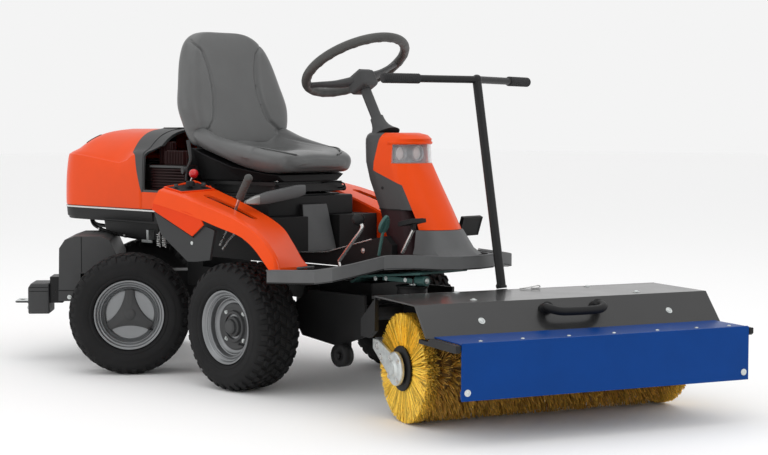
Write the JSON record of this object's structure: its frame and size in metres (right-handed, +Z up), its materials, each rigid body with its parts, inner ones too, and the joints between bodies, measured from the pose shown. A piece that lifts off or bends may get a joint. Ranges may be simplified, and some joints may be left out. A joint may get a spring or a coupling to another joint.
{
  "type": "lawn sweeper",
  "caption": "Ride-on lawn sweeper with an articulated rear section, a seat, a steering console and a powered rotary broom that lifts and turns.",
  "frame": {"origin": "bottom centre of the bounding box, on the ground under the machine's middle as it stands with the rear section turned and the broom angled", "axes": "+X is the chassis' forward direction and the longest extent, +Y is the machine's left, +Z is up"},
  "size_m": [2.7209, 1.1109, 1.17],
  "materials": {
    "orange_paint": "gloss",
    "charcoal_plastic": "matte",
    "black_steel": "satin",
    "black_plastic": "matte",
    "tyre": "matte",
    "silver_rim": "satin",
    "seat_vinyl": "matte",
    "hood_paint": "satin",
    "flap_blue": "satin",
    "bristle": "matte",
    "zinc": "satin",
    "clear_lens": "gloss",
    "red_plastic": "gloss",
    "engine_grey": "satin",
    "link_green": "satin",
    "lamp_silver": "gloss",
    "engine_casting": "satin"
  },
  "bodies": {
    "chassis": {"main_frame": "black_steel", "front_axle": "engine_grey", "engine_block": "engine_casting", "bonnet_base": "black_plastic", "fuel_hose": "black_plastic", "fender_right": "orange_paint", "fender_left": "orange_paint", "side_panel_right": "charcoal_plastic", "side_panel_left": "charcoal_plastic", "footplate": "charcoal_plastic", "tunnel": "black_plastic", "pulley_plate": "link_green", "console_shell": "charcoal_plastic", "console_cover": "orange_paint", "console_skirt": "charcoal_plastic", "headlight_lens": "clear_lens", "headlamp_unit": "lamp_silver", "steering_column": "black_plastic", "intake_cowl": "charcoal_plastic", "intake_grille": "black_plastic"},
    "steering": {"steering_wheel": "charcoal_plastic"},
    "rear_section": {"rear_frame": "black_steel", "rear_cover": "charcoal_plastic", "rear_bumper": "charcoal_plastic"},
    "wheel_front_right": {"front_right_tyre": "tyre", "front_right_rim": "silver_rim"},
    "wheel_front_left": {"front_left_tyre": "tyre", "front_left_rim": "silver_rim"},
    "wheel_rear_right": {"rear_right_tyre": "tyre", "rear_right_rim": "silver_rim", "rear_right_cap": "charcoal_plastic"},
    "wheel_rear_left": {"rear_left_tyre": "tyre", "rear_left_rim": "silver_rim", "rear_left_cap": "charcoal_plastic"},
    "bonnet_lid": {"bonnet": "orange_paint", "bonnet_panel": "charcoal_plastic"},
    "seat_tilt_base": {"seat_support": "black_steel"},
    "seat": {"seat_pan": "black_plastic", "seat_cushion": "seat_vinyl", "seat_backrest": "seat_vinyl"},
    "lever_lift": {"lift_lever": "charcoal_plastic"},
    "lever_side": {"side_lever": "charcoal_plastic"},
    "lever_throttle": {"throttle_lever": "red_plastic"},
    "knob_choke": {"choke_knob": "black_plastic"},
    "pedal_forward": {"forward_pedal": "black_plastic"},
    "pedal_reverse": {"reverse_pedal": "link_green"},
    "pedal_brake": {"brake_pedal": "black_plastic"},
    "lever_release": {"release_lever": "zinc"},
    "lift_arm": {"lift_frame": "black_steel"},
    "roller_right": {"guide_roller_right": "black_plastic"},
    "roller_left": {"guide_roller_left": "black_plastic"},
    "handlebar": {"angle_handle": "black_steel"},
    "broom_carrier": {"carrier_frame": "black_steel", "bearing_arm": "zinc", "hood": "hood_paint", "hood_handle": "black_plastic", "flap_shelf": "flap_blue"},
    "brush": {"brush_core": "black_plastic", "brush_bristles": "bristle"},
    "flap": {"splash_flap": "flap_blue"}
  },
  "joints": [
    {"name": "rear_steer", "type": "hinge", "parent": "chassis", "child": "rear_section", "pos_m": [-0.7637, 0.0459, 0.35], "axis": [0, 0, 1], "range_deg": [-99, 0]},
    {"name": "steering_turn", "type": "hinge", "parent": "chassis", "child": "steering", "pos_m": [0.0483, 0.0459, 1.034], "axis": [-0.5, 0, 0.866], "range_deg": [0, 712.8]},
    {"name": "front_right_spin", "type": "hinge", "parent": "chassis", "child": "wheel_front_right", "pos_m": [-0.1017, -0.3091, 0.2035], "axis": [0, 1, 0], "continuous": true},
    {"name": "front_left_spin", "type": "hinge", "parent": "chassis", "child": "wheel_front_left", "pos_m": [-0.1017, 0.4009, 0.2035], "axis": [0, 1, 0], "continuous": true},
    {"name": "rear_right_spin", "type": "hinge", "parent": "rear_section", "child": "wheel_rear_right", "pos_m": [-0.64183, -0.35803, 0.2035], "axis": [-0.7604, 0.6494, 0], "continuous": true},
    {"name": "rear_left_spin", "type": "hinge", "parent": "rear_section", "child": "wheel_rear_left", "pos_m": [-1.18172, 0.10308, 0.2035], "axis": [-0.7604, 0.6494, 0], "continuous": true},
    {"name": "bonnet_hinge", "type": "hinge", "parent": "chassis", "child": "bonnet_lid", "pos_m": [-1.3377, 0.0459, 0.548], "axis": [0, -1, 0], "range_deg": [0, 55]},
    {"name": "seat_tilt", "type": "hinge", "parent": "chassis", "child": "seat_tilt_base", "pos_m": [-0.1797, 0.0459, 0.628], "axis": [0, 1, 0], "range_deg": [0, 25]},
    {"name": "seat_slide", "type": "slide", "parent": "seat_tilt_base", "child": "seat", "axis": [1, 0, 0], "range_m": [-0.025, 0.02]},
    {"name": "lift_lever_turn", "type": "hinge", "parent": "chassis", "child": "lever_lift", "pos_m": [-0.1877, -0.2871, 0.52], "axis": [0, 1, 0], "range_deg": [-28, 0]},
    {"name": "side_lever_swing", "type": "hinge", "parent": "chassis", "child": "lever_side", "pos_m": [-0.1077, -0.0501, 0.628], "axis": [0, 0, 1], "range_deg": [0, 20]},
    {"name": "throttle_turn", "type": "hinge", "parent": "chassis", "child": "lever_throttle", "pos_m": [-0.4397, -0.2541, 0.65], "axis": [0, 1, 0], "range_deg": [-20, 20]},
    {"name": "choke_pull", "type": "slide", "parent": "chassis", "child": "knob_choke", "axis": [0, 0, 1], "range_m": [0, 0.012]},
    {"name": "forward_pedal_turn", "type": "hinge", "parent": "chassis", "child": "pedal_forward", "pos_m": [0.4123, -0.1041, 0.452], "axis": [0, 1, 0], "range_deg": [0, 15], "stiffness_Nm_per_rad": 12, "springref_deg": -11.46},
    {"name": "reverse_pedal_turn", "type": "hinge", "parent": "chassis", "child": "pedal_reverse", "pos_m": [0.3683, -0.1601, 0.446], "axis": [0, 1, 0], "range_deg": [0, 15], "stiffness_Nm_per_rad": 12, "springref_deg": -11.46},
    {"name": "brake_pedal_turn", "type": "hinge", "parent": "chassis", "child": "pedal_brake", "pos_m": [0.3503, 0.1859, 0.44], "axis": [0, 1, 0], "range_deg": [0, 18], "stiffness_Nm_per_rad": 20, "springref_deg": -11.46},
    {"name": "release_turn", "type": "hinge", "parent": "chassis", "child": "lever_release", "pos_m": [0.1843, -0.1541, 0.418], "axis": [0, 1, 0], "range_deg": [-20, 10]},
    {"name": "broom_lift", "type": "hinge", "parent": "chassis", "child": "lift_arm", "pos_m": [-0.0217, 0.0459, 0.25], "axis": [0, 1, 0], "range_deg": [-6, 0]},
    {"name": "broom_yaw", "type": "hinge", "parent": "lift_arm", "child": "broom_carrier", "pos_m": [0.8233, 0.0459, 0.33], "axis": [0, 0, 1], "range_deg": [0, 40]},
    {"name": "handlebar_turn", "type": "hinge", "parent": "lift_arm", "child": "handlebar", "pos_m": [0.6833, 0.0459, 0.355], "axis": [-0.1649, 0, 0.9863], "range_deg": [0, 40]},
    {"name": "roller_right_spin", "type": "hinge", "parent": "lift_arm", "child": "roller_right", "pos_m": [0.2203, -0.1741, 0.128], "axis": [0, 1, 0], "continuous": true},
    {"name": "roller_left_spin", "type": "hinge", "parent": "lift_arm", "child": "roller_left", "pos_m": [0.2203, 0.2659, 0.128], "axis": [0, 1, 0], "continuous": true},
    {"name": "brush_spin", "type": "hinge", "parent": "broom_carrier", "child": "brush", "pos_m": [0.8233, 0.0459, 0.1565], "axis": [0.342, 0.9397, 0], "continuous": true},
    {"name": "flap_swing", "type": "hinge", "parent": "broom_carrier", "child": "flap", "pos_m": [1.19692, -0.09009, 0.272], "axis": [-0.342, -0.9397, 0], "range_deg": [-8, 60]}
  ],
  "couplings": [
    {"joint": "steering_turn", "follows": "rear_steer", "ratio": -7.2},
    {"joint": "lift_lever_turn", "follows": "broom_lift", "ratio": 4.5},
    {"joint": "handlebar_turn", "follows": "broom_yaw", "ratio": 1}
  ]
}
